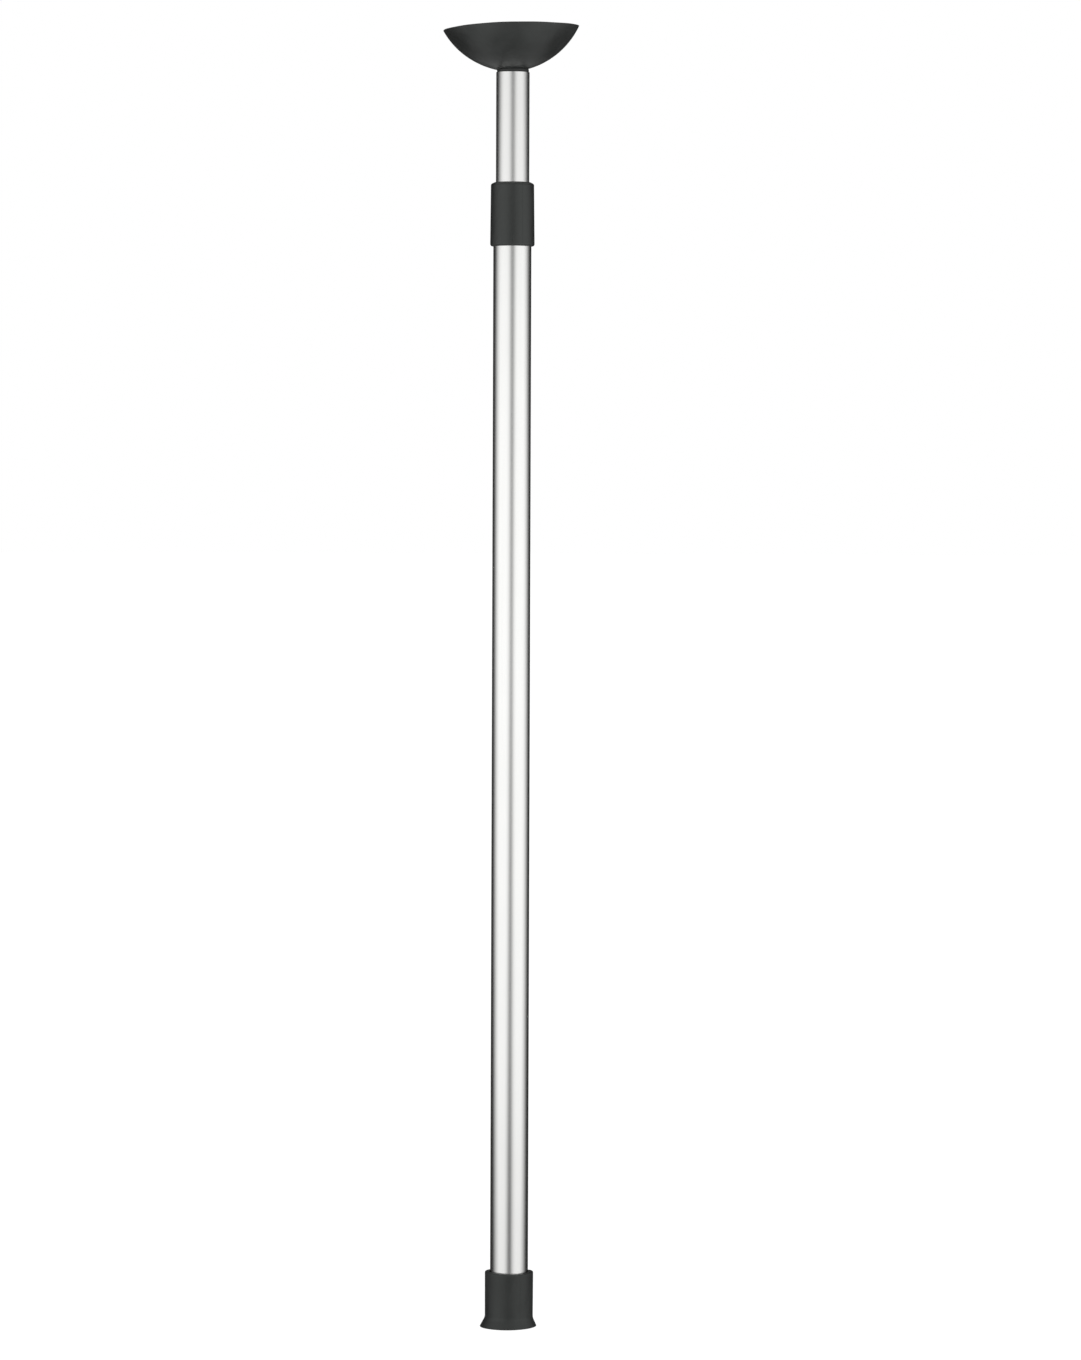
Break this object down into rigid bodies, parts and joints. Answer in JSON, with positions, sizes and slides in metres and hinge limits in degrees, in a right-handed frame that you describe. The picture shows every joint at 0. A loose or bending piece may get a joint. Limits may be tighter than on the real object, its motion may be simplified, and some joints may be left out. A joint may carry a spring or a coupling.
{
  "type": "cargo bar",
  "caption": "Telescoping aluminium cargo bar: a twist-to-tighten inner tube with a swivelling rubber cup at one end and a flared rubber foot at the other.",
  "frame": {"origin": "centre of the rubber foot's underside, on the tubes' axis", "axes": "+Z along the bar from the foot to the cup, +X to the right as the cup leans left, +Y away from the viewer"},
  "size_m": [0.114, 0.114, 1.0962],
  "materials": {
    "satin_aluminium": "satin anodised, with faint lines along the tube",
    "black_rubber": "matte moulded rubber with a fine grain",
    "natural_nylon": "unpainted moulded nylon",
    "black_nylon": "black moulded nylon",
    "zinc_plated_steel": "bright zinc plating",
    "cast_zinc": "die-cast zinc, grey and slightly rough"
  },
  "bodies": {
    "outer": {"outer_tube": "satin_aluminium", "guide_liner": "natural_nylon", "guide_ring": "natural_nylon", "collar_sleeve": "black_rubber", "foot_boot": "black_rubber", "foot_washer": "zinc_plated_steel", "tube_end_plug": "black_nylon"},
    "brake": {"brake_cone": "cast_zinc", "brake_bush": "natural_nylon", "brake_washer": "zinc_plated_steel", "brake_nut": "zinc_plated_steel", "brake_spring": "zinc_plated_steel", "tension_screw": "zinc_plated_steel", "stop_nut": "zinc_plated_steel"},
    "slip": {"slip_washer": "natural_nylon"},
    "inner": {"inner_tube": "satin_aluminium", "drive_plug": "natural_nylon", "drive_nut": "zinc_plated_steel", "plug_rivet_left": "zinc_plated_steel", "plug_rivet_right": "zinc_plated_steel", "neck_plug": "black_nylon"},
    "swivel": {"dome_washer": "zinc_plated_steel", "spring_washer": "zinc_plated_steel", "swivel_bolt": "zinc_plated_steel", "bolt_washer": "zinc_plated_steel", "lock_nut": "zinc_plated_steel"},
    "pad": {"pad_seat": "natural_nylon", "pad_cup": "black_rubber"}
  },
  "joints": [
    {"name": "length_slide", "type": "slide", "parent": "outer", "child": "brake", "axis": [0, 0, 1], "range_m": [-0.09, 0.664]},
    {"name": "jack_lift", "type": "slide", "parent": "brake", "child": "slip", "axis": [0, 0, 1], "range_m": [0, 0.024], "deforming": ["brake_spring"]},
    {"name": "tube_twist", "type": "hinge", "parent": "slip", "child": "inner", "pos_m": [0, 0, 0.16], "axis": [0, 0, 1], "range_deg": [0, 2160]},
    {"name": "pad_spin", "type": "hinge", "parent": "inner", "child": "swivel", "pos_m": [0, 0, 1.0545], "axis": [0, 0, 1], "continuous": true},
    {"name": "pad_tilt", "type": "hinge", "parent": "swivel", "child": "pad", "pos_m": [0, 0, 1.0545], "axis": [0, 1, 0], "range_deg": [-3.85, 8.15]}
  ],
  "couplings": [
    {"joint": "jack_lift", "follows": "tube_twist", "m_per_rad": 0.00063662}
  ]
}
